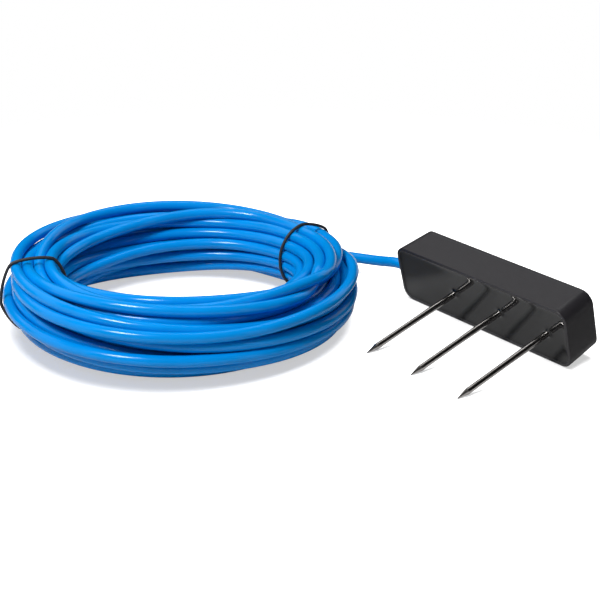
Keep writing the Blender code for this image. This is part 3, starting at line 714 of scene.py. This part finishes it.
def settle_pile(settings, lead, tail):
    """Centre line of the coil, relaxed into a loose pile.

    At each station the loops are discs in the plane through the coil's axis. They start on a
    winding that goes in and out and slowly up, turned by the twist and moved by smooth noise.
    In each round, discs that overlap push each other apart, discs outside the pile's ellipse
    are drawn in, the floor lifts what is below it, and the run is smoothed along the cable.
    The lead's and the tail's stations stay where they are, and the ellipse lets go of the runs
    next to them.
    """
    rng = np.random.default_rng(settings.seed)
    rows = settings.loops + 1
    count = rows * STATIONS
    angles = COIL_START + CIRCLE * np.arange(STATIONS) / STATIONS
    middle, mid_height, width, height, tight = pile_shape(settings, angles)
    turns = (np.arange(count) / STATIONS) - 1.0
    sweep = 2 * np.abs(1 - (turns / TURNS_PER_SWEEP) % 2) - 1
    climb = np.clip(2 * turns / settings.loops - 1, -1.0, 1.0)
    inner = settings.diameter / 2
    shape = np.tile(np.stack([middle, mid_height, width - inner, height - inner]), rows)
    across = shape[2] * sweep * np.sqrt(np.clip(WINDING_FULLNESS - climb ** 2, 0.0, 1.0))
    upward = shape[3] * climb
    turn = settings.twist * np.sin(np.tile(angles, rows) - TWIST_ANGLE)
    out = across * np.cos(turn) - upward * np.sin(turn)
    rise = across * np.sin(turn) + upward * np.cos(turn)
    knots = rows * KNOTS_PER_TURN
    radius = shape[0] + out + settings.wander * smooth_noise(rng, count, knots)
    level = shape[1] + rise + settings.wander * smooth_noise(rng, count, knots)

    run_angles = COIL_START + CIRCLE * turns
    lead_radius, lead_angle, lead_level = polar(lead)
    on_lead = (run_angles >= lead_angle.min()) & (turns <= 0)
    radius[on_lead] = np.interp(run_angles[on_lead], lead_angle, lead_radius)
    level[on_lead] = np.interp(run_angles[on_lead], lead_angle, lead_level)
    tail_radius, tail_angle, tail_level = polar(tail)
    tail_angle = tail_angle + CIRCLE * settings.loops
    on_tail = run_angles >= tail_angle[0]
    radius[on_tail] = np.interp(run_angles[on_tail], tail_angle, tail_radius)
    level[on_tail] = np.interp(run_angles[on_tail], tail_angle, tail_level)
    unused = (turns < 0) & ~on_lead
    radius[unused], level[unused] = 1.0, 1.0
    free = (run_angles >= COIL_START - LEAD_FREE) & (run_angles <= tail_angle[0] + TAIL_FREE)

    itself = np.broadcast_to(np.eye(rows, dtype=bool)[:, :, None], (rows, rows, STATIONS))
    floor = np.tile(inner + (settings.tie_thickness + TIE_CLEARANCE) * tight, rows)
    from_lead = np.clip((turns - HOLD_START[0]) / HOLD_START[1], 0.0, 1.0)
    from_tail = np.clip((settings.loops - HOLD_END[0] - turns) / HOLD_END[1], 0.0, 1.0)
    hold = np.tile(HOLD_LOOSE + HOLD_AT_TIE * tight, rows) * (from_lead * from_tail)
    inside = free[1:-1]
    for step in range(ROUNDS):
        discs = np.stack([radius, level], axis=-1).reshape(rows, STATIONS, 2)
        away = discs[:, None] - discs[None, :]
        gap = np.linalg.norm(away, axis=-1)
        gap[itself] = 1.0
        gap = np.maximum(gap, 1e-7)
        reach = settings.diameter * (FIRST_SPACING - SPACING_DROP * min(step / EASE_ROUNDS, 1.0))
        push = np.clip(reach - gap, 0.0, None) * PUSH / gap
        shift = (push[..., None] * away).sum(axis=1).reshape(-1, 2)
        radius[free] += shift[free, 0]
        level[free] += shift[free, 1]
        u = (radius - shape[0]) / shape[2]
        v = (level - shape[1]) / shape[3]
        beyond = np.maximum(np.sqrt(u * u + v * v), 1.0)
        pull = hold * np.clip(1 - 1 / beyond, 0.0, 1.0)
        radius[free] -= (pull * (radius - shape[0]))[free]
        level[free] -= (pull * (level - shape[1]))[free]
        level[free] = np.maximum(level, floor)[free]
        share = SMOOTHING if step < ROUNDS - CALM_ROUNDS else CALM_SMOOTHING
        for run in (radius, level):
            smooth = run[1:-1] + share * (run[:-2] + run[2:] - 2 * run[1:-1])
            run[1:-1][inside] = smooth[inside]
    path = around_coil(radius[free], run_angles[free], level[free])
    return path, angles, np.stack([radius, level], axis=-1).reshape(rows, STATIONS, 2)


def cable_route(settings):
    """The whole centre line: inside the cup, through the gland, the lead, the coil and the tail.

    Near the two joins each point moves towards the middle of its neighbours, by a bell's share.
    """
    past_mouth = GLAND_MOUTH - settings.diameter
    stations = (INNER_CABLE_END, (INNER_CABLE_END + GLAND_MOUTH) / 2, GLAND_MOUTH, past_mouth)
    entry = from_head([(x, *GLAND_AXIS) for x in stations])
    start = around_coil(LEAD_END_RADIUS, COIL_START, ON_FLOOR)
    ahead = around_coil(LEAD_END_RADIUS - LEAD_END_CLOSING, COIL_START + LEAD_END_TURN, ON_FLOOR)
    lead = smooth_route([*entry, *LEAD_ROUTE, start, ahead], ROUTE_SPACING)
    tail_turn, tail_radius, tail_level = np.array(TAIL_ROUTE).T
    tail_turn = np.radians(tail_turn)
    tail = smooth_route(around_coil(tail_radius, tail_turn, tail_level), ROUTE_SPACING)
    coil, angles, sections = settle_pile(settings, lead, tail)
    lead = lead[polar(lead)[1] < COIL_START - LEAD_FREE]
    tail = tail[polar(tail)[1] > tail_turn[0] + TAIL_FREE]
    path = resampled(np.vstack([lead, coil, tail]), ROUTE_POINTS)
    along = run_lengths(path)
    joins = (run_lengths(lead)[-1], along[-1] - run_lengths(tail)[-1])
    near = sum(np.exp(-((along - join) / JOIN_REACH) ** 2) for join in joins)
    for _ in range(JOIN_ROUNDS):
        path[1:-1] += near[1:-1, None] * ((path[:-2] + path[2:]) / 2 - path[1:-1]) / 2
    return path, angles, sections


# The finished cable's centre line, its stations and their discs, for the pieces that lie on it
CABLE = {}


class PROBE_OT_cable(bpy.types.Operator):
    """Makes the blue cable: its entry, lead, loose coil and tail in one run"""

    bl_idname = "probe.make_cable"
    bl_label = "Cable"

    def execute(self, context):
        settings = context.scene.probe_cable
        path, CABLE["angles"], CABLE["sections"] = cable_route(settings)
        path = resampled(path, int(run_lengths(path)[-1] / CABLE_RING_SPACING))
        smooth = path.copy()
        smooth[1:-1] = 0.25 * path[:-2] + 0.5 * path[1:-1] + 0.25 * path[2:]
        CABLE["path"] = smooth
        tube("cable", smooth, settings.diameter / 2, 16, UP, jacket_finish(settings),
             ("cable_lead", "cable_coil", "cable_tail", "inner_cable"))
        return {"FINISHED"}


def tie_path(section, angle, reach, count=160):
    """A smooth loop round the discs of one station.

    For each direction, the loop's distance from the middle is that of the furthest disc, moved
    on by the reach, averaged over nearby directions and then grown by most of what still stands
    out. The loop's point is distance times direction plus the distance's rate times the
    direction's.
    """
    turn = np.linspace(0.0, CIRCLE, count, endpoint=False)
    outward = np.stack([np.cos(turn), np.sin(turn)], axis=1)
    sideways = np.stack([-np.sin(turn), np.cos(turn)], axis=1)
    middle = (section.min(axis=0) + section.max(axis=0)) / 2
    furthest = (outward @ (section - middle).T).max(axis=1) + reach
    weight = np.exp(-(turned_away(turn[:, None], turn[None, :]) / TIE_SMOOTHING) ** 2)
    distance = weight @ furthest / weight.sum(axis=1)
    distance += np.max(furthest - distance) * TIE_GROWTH
    rate = (np.roll(distance, -1) - np.roll(distance, 1)) / (2 * CIRCLE / count)
    loop = middle + distance[:, None] * outward + rate[:, None] * sideways
    return around_coil(loop[:, 0], np.full(count, angle), loop[:, 1])


class PROBE_OT_ties(bpy.types.Operator):
    """Makes the two elastic ties round the coil"""

    bl_idname = "probe.make_ties"
    bl_label = "Coil ties"

    def execute(self, context):
        settings = context.scene.probe_cable
        finish = tie_finish(settings)
        half = settings.tie_thickness / 2
        for side, (angle, *_) in TIES.items():
            nearest = np.argmin(np.abs(turned_away(CABLE["angles"], angle)))
            path = tie_path(CABLE["sections"][1:, nearest], angle, settings.diameter / 2 + half)
            path[:, 2] = np.maximum(path[:, 2], half)
            across = (-math.sin(angle), math.cos(angle), 0.0)
            tube("tie_" + side, path, half, 12, across, finish, ("coil_tie_" + side,),
                 closed=True)
        return {"FINISHED"}


class PROBE_OT_wire_ends(bpy.types.Operator):
    """Makes the four stripped cores at the cable's far end and their crimped sleeves"""

    bl_idname = "probe.make_wire_ends"
    bl_label = "Wire ends"

    def execute(self, context):
        path = CABLE["path"]
        along = unit(path[-1] - path[-4])
        across = unit(np.cross(along, UP))
        upward = np.cross(across, along)
        tin = steel_finish("tinned_sleeve", TIN, 0.22, (900.0, 900.0, 900.0))
        rings = turned_rings(SLEEVE_PROFILE, 24)
        sleeve = rings[..., :1] * across + rings[..., 1:2] * upward + rings[..., 2:] * along
        for index, (colour, tint) in enumerate(CORE_COLOURS.items()):
            side = -1 if index < 2 else 1
            level = -1 if index % 2 == 0 else 1
            start = path[-1] + (across * side + upward * level) * CORE_SPREAD
            spread = CORE_FAN * (2 * index - 3) - side * CORE_SPREAD
            end = start + along * CORE_LENGTH + across * spread
            end[2] = CORE_REST
            route = (start - along * CORE_IN_JACKET, start + along * CORE_DIAMETER, (start + end) / 2,
                     end - along * CORE_DIAMETER, end + along * CORE_IN_SLEEVE)
            wire = moulded_finish("core_insulation_" + colour, tint, CORE_GLOSS, CORE_GRAIN)
            tube("wire_" + colour, smooth_route(route, CORE_RING_SPACING), CORE_DIAMETER / 2, 14, UP, wire,
                 ("tail_core_" + colour,))
            ring_stack("sleeve_" + colour, end + along * GAP + sleeve, tin,
                       ("tail_ferrule_" + colour,))
        return {"FINISHED"}


class PROBE_OT_gland(bpy.types.Operator):
    """Makes the ribbed rubber gland in the cup's end wall"""

    bl_idname = "probe.make_gland"
    bl_label = "Cable gland"

    def execute(self, context):
        bore = context.scene.probe_cable.diameter / 2 + GLAND_GRIP
        groove, rib_height, rib_taper = 0.0034, 0.0004, 0.0002
        first_rib, rib_pitch = 0.0010, 0.0016
        land, slope, flat = 0.0001, 0.0002, 0.0006
        round_in, round_on = 0.0001, 0.0002
        chamfer, fillet, edge = 0.0003, 0.0006, 0.0005
        profile = [(bore, GLAND_MOUTH), (groove, GLAND_MOUTH), (groove + chamfer, GLAND_MOUTH + chamfer)]
        for rib in range(2):
            x = GLAND_MOUTH + first_rib + rib_pitch * rib
            out = groove + rib_height + rib_taper * rib
            foot = x + land + slope
            profile += [(out, x), (out, x + land), (groove, foot), (groove, foot + flat),
                        (out, foot + flat + slope)]
        top = GLAND_FLANGE_TOP
        profile += [(GLAND_NECK, top - fillet), (GLAND_NECK + land, top - land), (GLAND_FLANGE - edge, top),
                    (GLAND_FLANGE - round_in, top + round_on), (GLAND_FLANGE, top + edge),
                    (GLAND_FLANGE, GLAND_FLANGE_SEAT), (GLAND_NECK, GLAND_FLANGE_SEAT),
                    (GLAND_NECK, GLAND_RING_SEAT), (GLAND_FLANGE, GLAND_RING_SEAT),
                    (GLAND_FLANGE, GLAND_INNER), (bore, GLAND_INNER)]
        rings = turned_rings(profile, 48)
        axis_y, axis_z = GLAND_AXIS
        placed = np.stack([rings[..., 2], rings[..., 0] + axis_y, rings[..., 1] + axis_z], axis=-1)
        faces = grid_faces(*rings.shape[:2], close_rows=True).tolist()
        finish = moulded_finish("gland_rubber_black", (0.018, 0.018, 0.019, 1.0), 0.55, 2200.0)
        put_mesh("gland", from_head(placed), faces, finish, ("cable_gland",))
        return {"FINISHED"}


class PROBE_OT_cup(bpy.types.Operator):
    """Makes the moulded cup with its rim, rounded edges and hollow"""

    bl_idname = "probe.make_cup"
    bl_label = "Cup"

    def execute(self, context):
        lip = PIN_FACE + CUP_LIP
        front = PIN_FACE + CUP_EDGE
        rear = CUP_BACK - CUP_EDGE
        inner_rim = quarter_round((lip, CUP_WALL), (PIN_FACE, CUP_WALL - CUP_LIP))
        outer_rim = quarter_round((CUP_EDGE, PIN_FACE), (0.0, front))
        back_edge = quarter_round((rear, 0.0), (CUP_BACK, CUP_EDGE))
        stations = [(CUP_WALL, CUP_FLOOR), (CUP_WALL, CUP_FLOOR - FLAT_MARGIN), (CUP_WALL, lip + FLAT_MARGIN)]
        stations += [(inset, y) for y, inset in inner_rim] + outer_rim
        stations += [(0.0, front + FLAT_MARGIN), (0.0, rear - FLAT_MARGIN)]
        stations += [(inset, y) for y, inset in back_edge]
        stations += [(CUP_EDGE + FLAT_MARGIN, CUP_BACK), (CUP_BACK_INSET, CUP_BACK)]
        ring_stack("cup", cup_rings(stations), cup_finish(context.scene.probe_head),
                   ("housing_shell",))
        return {"FINISHED"}


def crowded(count, share):
    """A run from -1 to 1 that crowds towards its ends: a share of its sine and the rest of itself."""
    plain = np.linspace(-1.0, 1.0, count)
    return share * np.sin(plain * math.pi / 2) + (1 - share) * plain


def resin_height(settings, x, z, half_length, half_height, corner):
    """How far the resin stands over its level: it climbs the wall and the rods and is a little uneven.

    Each climb falls off as exp(-distance / width). Distance to the wall is that to a rectangle
    with rounded corners, and distance to a rod that to its circle. Two sines multiply to the
    unevenness.
    """
    over_x = np.abs(x) - (half_length - corner)
    over_z = np.abs(z) - (half_height - corner)
    outside = np.hypot(np.maximum(over_x, 0.0), np.maximum(over_z, 0.0))
    from_wall = np.maximum(corner - outside - np.minimum(np.maximum(over_x, over_z), 0.0), 0.0)
    height = settings.rim_climb * np.exp(-from_wall / RIM_CLIMB_WIDTH)
    for place in ROD_PLACES.values():
        from_axis = np.hypot(x - place, z - ROD_ROW_HEIGHT)
        from_rod = np.maximum(from_axis - settings.rod_diameter / 2, 0.0)
        height = height + settings.rod_climb * np.exp(-from_rod / ROD_CLIMB_WIDTH)
    first, second = (np.sin(x * rate_x + z * rate_z + phase) for rate_x, rate_z, phase in RESIN_WAVES)
    return height + RESIN_UNEVEN * first * second


class PROBE_OT_resin(bpy.types.Operator):
    """Makes the potting resin: a glossy face that climbs the wall and the rods, over a skirt"""

    bl_idname = "probe.make_resin"
    bl_label = "Potting resin"

    def execute(self, context):
        settings = context.scene.probe_head
        inset = CUP_WALL + RESIN_CLEARANCE
        half_length, half_height = CUP_LENGTH / 2 - inset, CUP_HEIGHT / 2 - inset
        corner = CUP_CORNER - inset
        z = half_height * crowded(RESIN_ROWS, 0.65)
        over = np.maximum(np.abs(z) - (half_height - corner), 0.0)
        limit = half_length - corner + np.sqrt(np.maximum(corner ** 2 - over ** 2, 0.0))
        x = crowded(RESIN_COLUMNS, 0.12)[None, :] * limit[:, None]
        z = np.broadcast_to(z[:, None], x.shape)
        y = RESIN_FACE - resin_height(settings, x, z, half_length, half_height, corner)
        y = np.maximum(y, PIN_FACE - settings.rod_climb)
        face = np.stack([x * (1.0 - end_draft(RESIN_FACE) / half_length), y, z], axis=-1).reshape(-1, 3)
        number = np.arange(len(face)).reshape(x.shape)
        border = np.concatenate([number[0, :-1], number[:-1, -1], number[-1, :0:-1], number[:0:-1, 0]])
        foot = CUP_FLOOR - GAP
        points = [face]
        loops = [border]
        for shrink, depth in ((0.0, foot), (RESIN_SKIRT, foot), (RESIN_SKIRT, RESIN_BACK)):
            ring = face[border]
            ring[:, 0] *= 1.0 - (end_draft(depth) + shrink) / half_length
            ring[:, 2] *= 1.0 - shrink / half_height
            ring[:, 1] = depth
            loops.append(sum(map(len, points)) + np.arange(len(border)))
            points.append(ring)
        faces = grid_faces(*x.shape, close_columns=False).tolist()
        for upper, lower in zip(loops[:-1], loops[1:]):
            faces += np.stack([upper, lower, np.roll(lower, -1), np.roll(upper, -1)], axis=1).tolist()
        faces.append(loops[-1].tolist())
        put_mesh("resin", from_head(np.vstack(points)), faces, resin_finish(settings),
                 ("potting_fill",))
        return {"FINISHED"}


class PROBE_OT_rods(bpy.types.Operator):
    """Makes the three pointed steel rods"""

    bl_idname = "probe.make_rods"
    bl_label = "Rods"

    def execute(self, context):
        settings = context.scene.probe_head
        radius = settings.rod_diameter / 2
        tip = PIN_FACE - ROD_EXPOSED
        end = ROD_INNER_END
        shoulder = tip + ROD_TIP_LENGTH + 2 * ROD_SHOULDER_STEP
        profile = [(ROD_END_MIDDLE, end), (radius - ROD_END_EDGE, end), (radius, end - ROD_END_EDGE),
                   (radius, end - 3 * ROD_END_EDGE)]
        profile += [(radius - drop, shoulder - step * ROD_SHOULDER_STEP)
                    for step, drop in enumerate(ROD_SHOULDER_DROPS)]
        profile += [(tip_radius, tip + along) for tip_radius, along in ROD_TIP_PROFILE]
        finish = steel_finish("rod_steel_polished", settings.steel, 0.10, (2600.0, 30.0, 2600.0))
        rings = turned_rings(profile, 48)
        for name, x in ROD_PLACES.items():
            placed = np.stack([rings[..., 0] + x, rings[..., 2], rings[..., 1] + ROD_ROW_HEIGHT], axis=-1)
            ring_stack("rod_" + name, from_head(placed), finish, ("probe_rod_" + name,))
        return {"FINISHED"}


class PROBE_OT_inner_parts(bpy.types.Operator):
    """Gives the sealed parts inside the cup their finishes"""

    bl_idname = "probe.finish_inner_parts"
    bl_label = "Inner parts"

    def execute(self, context):
        plating = (0.55, 0.54, 0.50, 1.0)
        finishes = {
            "solder_metal": steel_finish("solder_tin", TIN, 0.25, (700.0, 700.0, 700.0)),
            "screw_metal": steel_finish("screw_plating", plating, 0.28, (900.0, 900.0, 900.0)),
            "board_laminate": moulded_finish("board_mask_green", (0.02, 0.14, 0.05, 1.0), 0.38, 1500.0),
            "chip_plastic": moulded_finish("chip_mould_black", (0.025, 0.025, 0.027, 1.0), 0.50, 2600.0),
        }
        for colour, tint in CORE_COLOURS.items():
            finish = moulded_finish("inner_insulation_" + colour, tint, CORE_GLOSS, CORE_GRAIN)
            finishes["core_" + colour] = finish
        slots = {row["node"]: row["material_slot"] for row in frame["record"]["subparts"]}
        for name, node in frame["nodes"].items():
            if not node.hide_render:
                node.data.materials.clear()
                node.data.materials.append(finishes[slots[name]])
        return {"FINISHED"}


def light_box(name, place, aim, size, power):
    """A soft box that looks at a point."""
    lamp = bpy.data.lights.new(name, "AREA")
    lamp.shape = "RECTANGLE"
    lamp.size, lamp.size_y = size
    lamp.energy = power
    box = bpy.data.objects.new(name, lamp)
    x, y, z = np.array(aim) - np.array(place)
    box.location = place
    box.rotation_euler = (math.atan2(math.hypot(x, y), -z), 0.0, math.atan2(y, x) - math.pi / 2)
    bpy.context.scene.collection.objects.link(box)
    return box


def link_light(box, name, sheet, state):
    """Lets a soft box light only a sheet, or everything but that sheet."""
    group = bpy.data.collections.new(name)
    group.objects.link(sheet)
    group.collection_objects[0].light_linking.link_state = state
    box.light_linking.receiver_collection = group


def level_corners(first, second, height):
    """Corners of a level sheet between two opposite corners."""
    (x0, y0), (x1, y1) = first, second
    return [(x0, y0, height), (x1, y0, height), (x1, y1, height), (x0, y1, height)]


def upright_corners(first, second, low, high):
    """Corners of an upright card over the line between two points."""
    return [(*first, low), (*second, low), (*second, high), (*first, high)]


def stage_sheet(name, corners, finish):
    """A flat four-cornered sheet of the stage."""
    mesh = bpy.data.meshes.new(name)
    mesh.from_pydata(corners, [], [(0, 1, 2, 3)])
    mesh.materials.append(finish)
    sheet = bpy.data.objects.new(name, mesh)
    bpy.context.scene.collection.objects.link(sheet)
    return sheet


def card_finish(name, tone, glow=0.0):
    """A card that only reflections see: matt grey of one tone, or white that glows."""
    finish = new_finish(name)
    if glow:
        return finish.end(finish.node("Emission", None, {"Color": WHITE, "Strength": glow}))
    return finish.end(finish.node("BsdfDiffuse", None, {"Color": (tone, tone, tone, 1.0)}))


def floor_sheet(name, height, tone, glow):
    """A pale floor at a height that fades away round the object, with a tone and a glow of its own."""
    paper = new_finish(name + "_paper")
    matt = paper.node("BsdfDiffuse", None, {"Color": (tone, tone, tone, 1.0)})
    light = paper.node("Emission", None, {"Color": WHITE, "Strength": glow})
    white = paper.node("AddShader", None, {0: matt, 1: light})
    offset = paper.node("VectorMath", {"operation": "SUBTRACT"}, {0: paper.object_place(), 1: FLOOR_MIDDLE})
    away = paper.node("VectorMath", {"operation": "LENGTH"}, {0: offset}, output="Value")
    fade = paper.node("MapRange", {"interpolation_type": "SMOOTHSTEP"}, {
        "Value": away, "From Min": FLOOR_FADE[0], "From Max": FLOOR_FADE[1], "To Min": 0.0, "To Max": 1.0})
    clear = paper.node("BsdfTransparent", None, {"Color": WHITE})
    faded = paper.node("MixShader", None, {0: fade, 1: white, 2: clear})
    corners = level_corners((-FLOOR_HALF, -FLOOR_HALF), (FLOOR_HALF, FLOOR_HALF), height)
    return stage_sheet(name, corners, paper.end(faded))


def white_surround(strength):
    """A room that looks white to the camera and in reflections, and lights matt surfaces by a strength."""
    sky = Finish(bpy.data.worlds.new("white_surround"))
    rays = sky.node("LightPath").socket.node.outputs
    camera, glossy, through = (
        Wire(sky, rays[name]) for name in ("Is Camera Ray", "Is Glossy Ray", "Is Transmission Ray"))
    seen = sky.node("Math", {"operation": "MINIMUM"}, {0: camera + glossy + through, 1: 1.0})
    room = sky.node("Background", None, {"Color": WHITE, "Strength": strength})
    white = sky.node("Background", None, {"Color": WHITE, "Strength": 1.0})
    return sky.end(sky.node("MixShader", None, {0: seen, 1: room, 2: white}), "OutputWorld")


class PROBE_OT_stage(bpy.types.Operator):
    """Makes the pale floor, the soft light, the white surround and the camera"""

    bl_idname = "probe.make_stage"
    bl_label = "Stage"

    def execute(self, context):
        scene = context.scene
        settings = scene.probe_stage
        shown = floor_sheet("floor", -0.0002, 0.50, settings.floor_glow)
        shown.visible_glossy = False
        shown.visible_diffuse = False
        shown.visible_shadow = False
        bounce = floor_sheet("bounce_floor", -0.0004, 0.65, 0.0)
        bounce.visible_camera = False

        black = card_finish("flag_black", 0.01)
        charcoal = card_finish("flag_charcoal", 0.16)
        # Grey of the painted floor shadow that the cup's end face reflects
        grey = card_finish("painted_floor_shadow_grey", 0.19)
        # White glow of the painted highlight on the rods
        streak = card_finish("painted_highlight_white", 1.0, glow=3.0)
        leaning = [(0.20, 0.75, 0.03), (0.80, 0.15, 0.03), (0.60, 0.05, 0.95), (0.05, 0.60, 0.95)]
        cards = {
            "flag_side": (black, leaning),
            "flag_over": (charcoal, level_corners((-0.8, -1.3), (1.3, 1.3), 1.05)),
            "flag_front": (charcoal, upright_corners((-0.1, -1.45), (1.45, 0.02), 0.02, 1.05)),
            "flag_left": (black, upright_corners((-1.15, 0.10), (-0.35, 1.15), 0.03, 0.66)),
            "flag_end": (black, upright_corners((-1.15, -1.20), (-1.15, 0.10), 0.03, 0.66)),
            # Grey sheet on the floor beside the cup's end, seen only in reflections: painted shadow, the
            # floor in the head's shade as the end face reflects it
            "painted_floor_shadow_card": (grey, level_corners((0.062, 0.0), (0.40, 0.40), 0.0)),
            # Glowing white card that lights nothing and only reflections see: a painted highlight along the
            # rods
            "painted_highlight_card": (streak, level_corners((-0.42, 0.10), (-0.25, 0.55), 0.93)),
        }
        for name, (finish, corners) in cards.items():
            card = stage_sheet(name, corners, finish)
            card.visible_camera = False
            card.visible_shadow = False
            card.visible_diffuse = False

        scene.world = white_surround(settings.surround)
        key = light_box("key_box", *KEY_BOX, settings.key_power)
        top = light_box("top_box", *TOP_BOX, settings.top_power)
        over = light_box("floor_box", *FLOOR_BOX, settings.floor_power)
        top.visible_glossy = False
        over.visible_glossy = False
        link_light(key, "not_lit_by_key", shown, "EXCLUDE")
        link_light(over, "lit_by_floor_box", shown, "INCLUDE")

        camera = bpy.data.cameras.new("camera")
        camera.lens = settings.lens
        camera.sensor_width = SENSOR_WIDTH
        camera.clip_start, camera.clip_end = CLIP
        stand = bpy.data.objects.new("camera", camera)
        stand.location = settings.place
        stand.rotation_euler = (math.pi / 2 - settings.elevation, 0.0, settings.azimuth)
        scene.collection.objects.link(stand)
        scene.camera = stand
        scene.view_settings.view_transform = "Standard"
        return {"FINISHED"}


class PROBE_OT_declare_cable(bpy.types.Operator):
    """Lists the names of the pieces that lie on the cable, and does nothing more with them"""

    bl_idname = "probe.declare_cable"
    bl_label = "Cable facts"

    def execute(self, context):
        on_cable = ["gland", "tie_left", "tie_right"]
        on_cable += [kind + colour for kind in ("wire_", "sleeve_") for colour in CORE_COLOURS]
        return {"FINISHED"}


OPERATORS = (
    PROBE_OT_cable, PROBE_OT_ties, PROBE_OT_wire_ends, PROBE_OT_gland, PROBE_OT_cup, PROBE_OT_resin,
    PROBE_OT_rods, PROBE_OT_inner_parts, PROBE_OT_declare_cable, PROBE_OT_stage,
)


class PROBE_PT_panel(bpy.types.Panel):
    """Lists the probe's settings and its pieces"""

    bl_idname = "PROBE_PT_panel"
    bl_label = "Soil moisture probe"
    bl_space_type = "VIEW_3D"
    bl_region_type = "UI"
    bl_category = "Probe"

    def draw(self, context):
        layout = self.layout
        for group in (context.scene.probe_cable, context.scene.probe_head, context.scene.probe_stage):
            for name in group.__annotations__:
                layout.prop(group, name)
        for operator in OPERATORS:
            layout.operator(operator.bl_idname)


SETTINGS = {"probe_cable": CableSettings, "probe_head": HeadSettings, "probe_stage": StageSettings}


def register():
    """Registers the settings, the operators and the panel."""
    for name, group in SETTINGS.items():
        bpy.utils.register_class(group)
        setattr(bpy.types.Scene, name, bpy.props.PointerProperty(type=group))
    for part in (*OPERATORS, PROBE_PT_panel):
        bpy.utils.register_class(part)


def unregister():
    """Takes the panel, the operators and the settings out again."""
    for part in (PROBE_PT_panel, *reversed(OPERATORS)):
        bpy.utils.unregister_class(part)
    for name, group in SETTINGS.items():
        delattr(bpy.types.Scene, name)
        bpy.utils.unregister_class(group)


def main():
    """Builds every piece in order."""
    register()
    for operator in OPERATORS:
        space, name = operator.bl_idname.split(".")
        getattr(getattr(bpy.ops, space), name)()
    bpy.context.view_layer.update()


if __name__ == "__main__":
    main()
